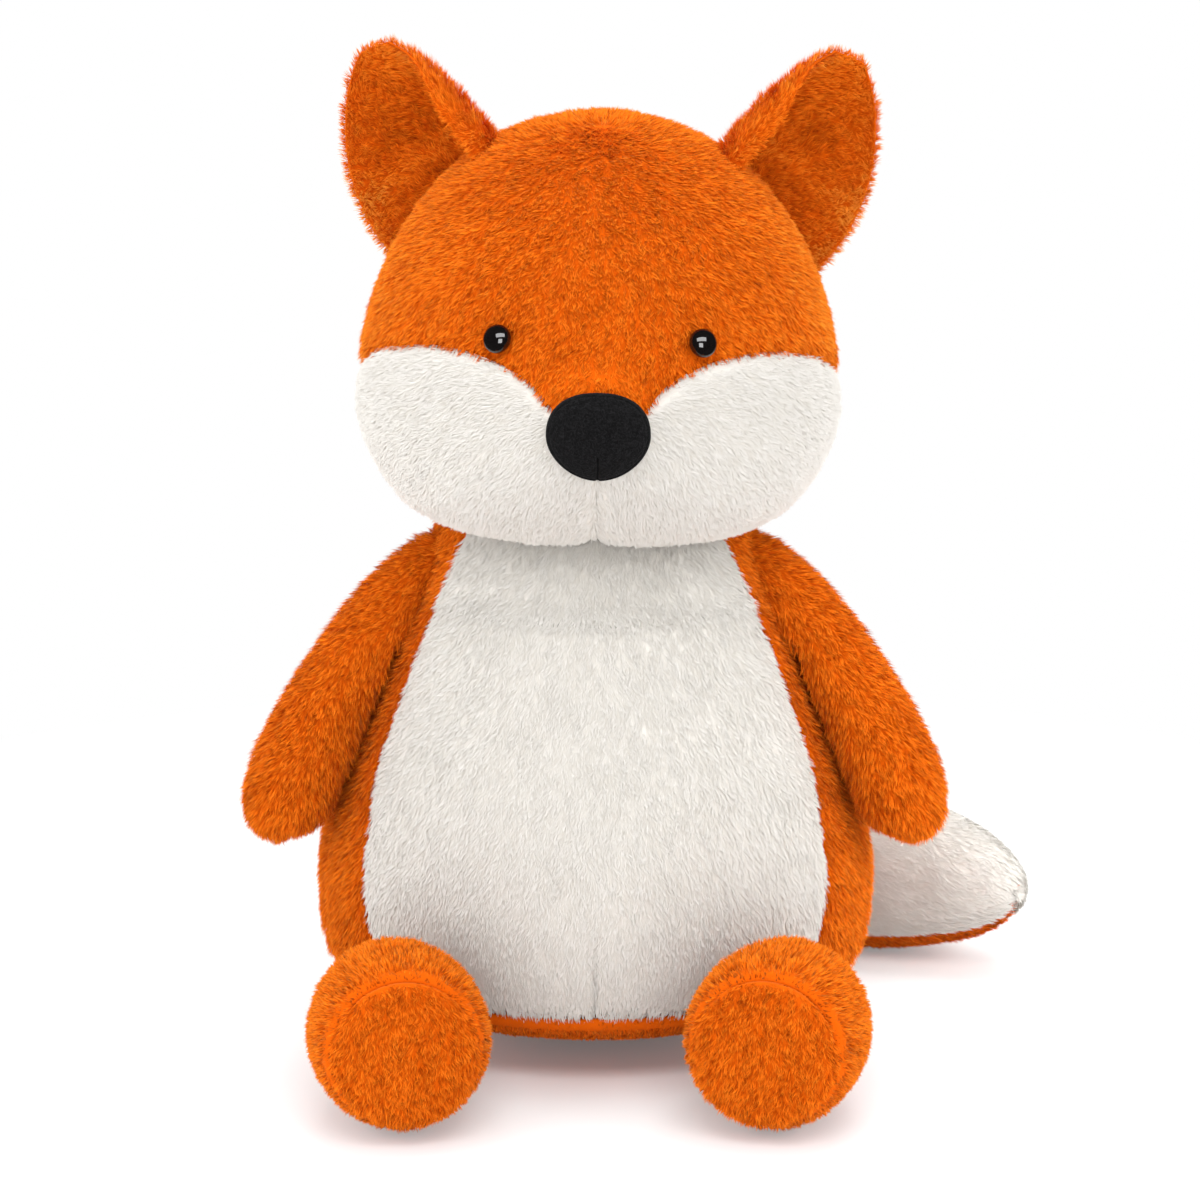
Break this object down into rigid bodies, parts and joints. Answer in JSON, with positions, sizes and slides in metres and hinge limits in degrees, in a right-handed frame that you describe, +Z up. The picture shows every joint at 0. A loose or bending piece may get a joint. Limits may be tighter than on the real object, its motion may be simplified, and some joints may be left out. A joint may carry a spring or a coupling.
{
  "type": "plush fox",
  "caption": "Sitting plush fox with a large round head, pear-shaped body with a white belly, stubby limbs, folded ears, felt nose and a bushy white-tipped tail.",
  "frame": {"origin": "middle of the flat seat that the fox rests on", "axes": "+Z up, -Y the way that the fox faces, +X to the right of someone who faces it"},
  "size_m": [0.2676, 0.2494, 0.3289],
  "materials": {
    "orange_fur": "short orange plush pile, lighter at the tips",
    "white_fur": "short warm white plush pile",
    "fibrefill": "loose polyester fibrefill",
    "bag_cloth": "plain woven bag filled with pellets",
    "black_felt": "matt pressed felt",
    "eye_plastic": "polished black",
    "washer_plastic": "plain white"
  },
  "bodies": {
    "torso": {"body_filling": "fibrefill", "seat_pellet_bag": "bag_cloth", "belly_panel": "white_fur", "body_side_left": "orange_fur", "body_side_right": "orange_fur", "body_back_left": "orange_fur", "body_back_right": "orange_fur", "base_panel": "orange_fur"},
    "neck": {"neck_stuffing": "fibrefill"},
    "head": {"head_filling": "fibrefill", "crown_panel": "orange_fur", "cheek_left": "white_fur", "cheek_right": "white_fur", "head_back_left": "orange_fur", "head_back_right": "orange_fur", "nose_pad": "black_felt", "eye_left": "eye_plastic", "eye_right": "eye_plastic", "eye_washer_left": "washer_plastic", "eye_washer_right": "washer_plastic"},
    "ear_left": {"ear_left_outer": "orange_fur", "ear_left_inner": "orange_fur"},
    "ear_right": {"ear_right_outer": "orange_fur", "ear_right_inner": "orange_fur"},
    "arm_left": {"arm_left_front": "orange_fur", "arm_left_back": "orange_fur", "arm_left_filling": "fibrefill"},
    "arm_right": {"arm_right_front": "orange_fur", "arm_right_back": "orange_fur", "arm_right_filling": "fibrefill"},
    "leg_left": {"leg_left_upper": "orange_fur", "sole_left": "orange_fur", "leg_left_filling": "fibrefill"},
    "leg_right": {"leg_right_upper": "orange_fur", "sole_right": "orange_fur", "leg_right_filling": "fibrefill"},
    "tail": {"tail_root_panel": "orange_fur", "tail_tip_panel": "white_fur", "tail_under_panel": "orange_fur", "tail_filling": "fibrefill"}
  },
  "joints": [
    {"name": "head_turn", "type": "hinge", "parent": "torso", "child": "neck", "pos_m": [0, -0.002, 0.1655], "axis": [0, 0, 1], "range_deg": [-35, 35], "stiffness_Nm_per_rad": 0.3},
    {"name": "head_nod", "type": "hinge", "parent": "neck", "child": "head", "pos_m": [0, -0.002, 0.1655], "axis": [1, 0, 0], "range_deg": [-12, 6], "stiffness_Nm_per_rad": 0.6},
    {"name": "ear_left_fold", "type": "hinge", "parent": "head", "child": "ear_left", "pos_m": [-0.04969, 0.01377, 0.27639], "axis": [0.5878, 0.043, 0.8079], "range_deg": [-18, 18], "stiffness_Nm_per_rad": 0.01},
    {"name": "ear_right_fold", "type": "hinge", "parent": "head", "child": "ear_right", "pos_m": [0.05879, 0.01377, 0.27412], "axis": [0.5534, -0.043, -0.8318], "range_deg": [-18, 18], "stiffness_Nm_per_rad": 0.01},
    {"name": "arm_left_swing", "type": "hinge", "parent": "torso", "child": "arm_left", "pos_m": [-0.06, -0.008, 0.1535], "axis": [-1, 0, 0], "range_deg": [0, 90], "stiffness_Nm_per_rad": 0.02},
    {"name": "arm_right_swing", "type": "hinge", "parent": "torso", "child": "arm_right", "pos_m": [0.06, -0.008, 0.1535], "axis": [-1, 0, 0], "range_deg": [0, 90], "stiffness_Nm_per_rad": 0.02},
    {"name": "leg_left_lift", "type": "hinge", "parent": "torso", "child": "leg_left", "pos_m": [-0.067, -0.0645, 0.0285], "axis": [-1, 0, 0], "range_deg": [-10, 40], "stiffness_Nm_per_rad": 0.1},
    {"name": "leg_right_lift", "type": "hinge", "parent": "torso", "child": "leg_right", "pos_m": [0.067, -0.0645, 0.0285], "axis": [-1, 0, 0], "range_deg": [-10, 40], "stiffness_Nm_per_rad": 0.1},
    {"name": "tail_swing", "type": "hinge", "parent": "torso", "child": "tail", "pos_m": [0, 0.086, 0.027], "axis": [0, 0, 1], "range_deg": [0, 70], "stiffness_Nm_per_rad": 0.05}
  ]
}
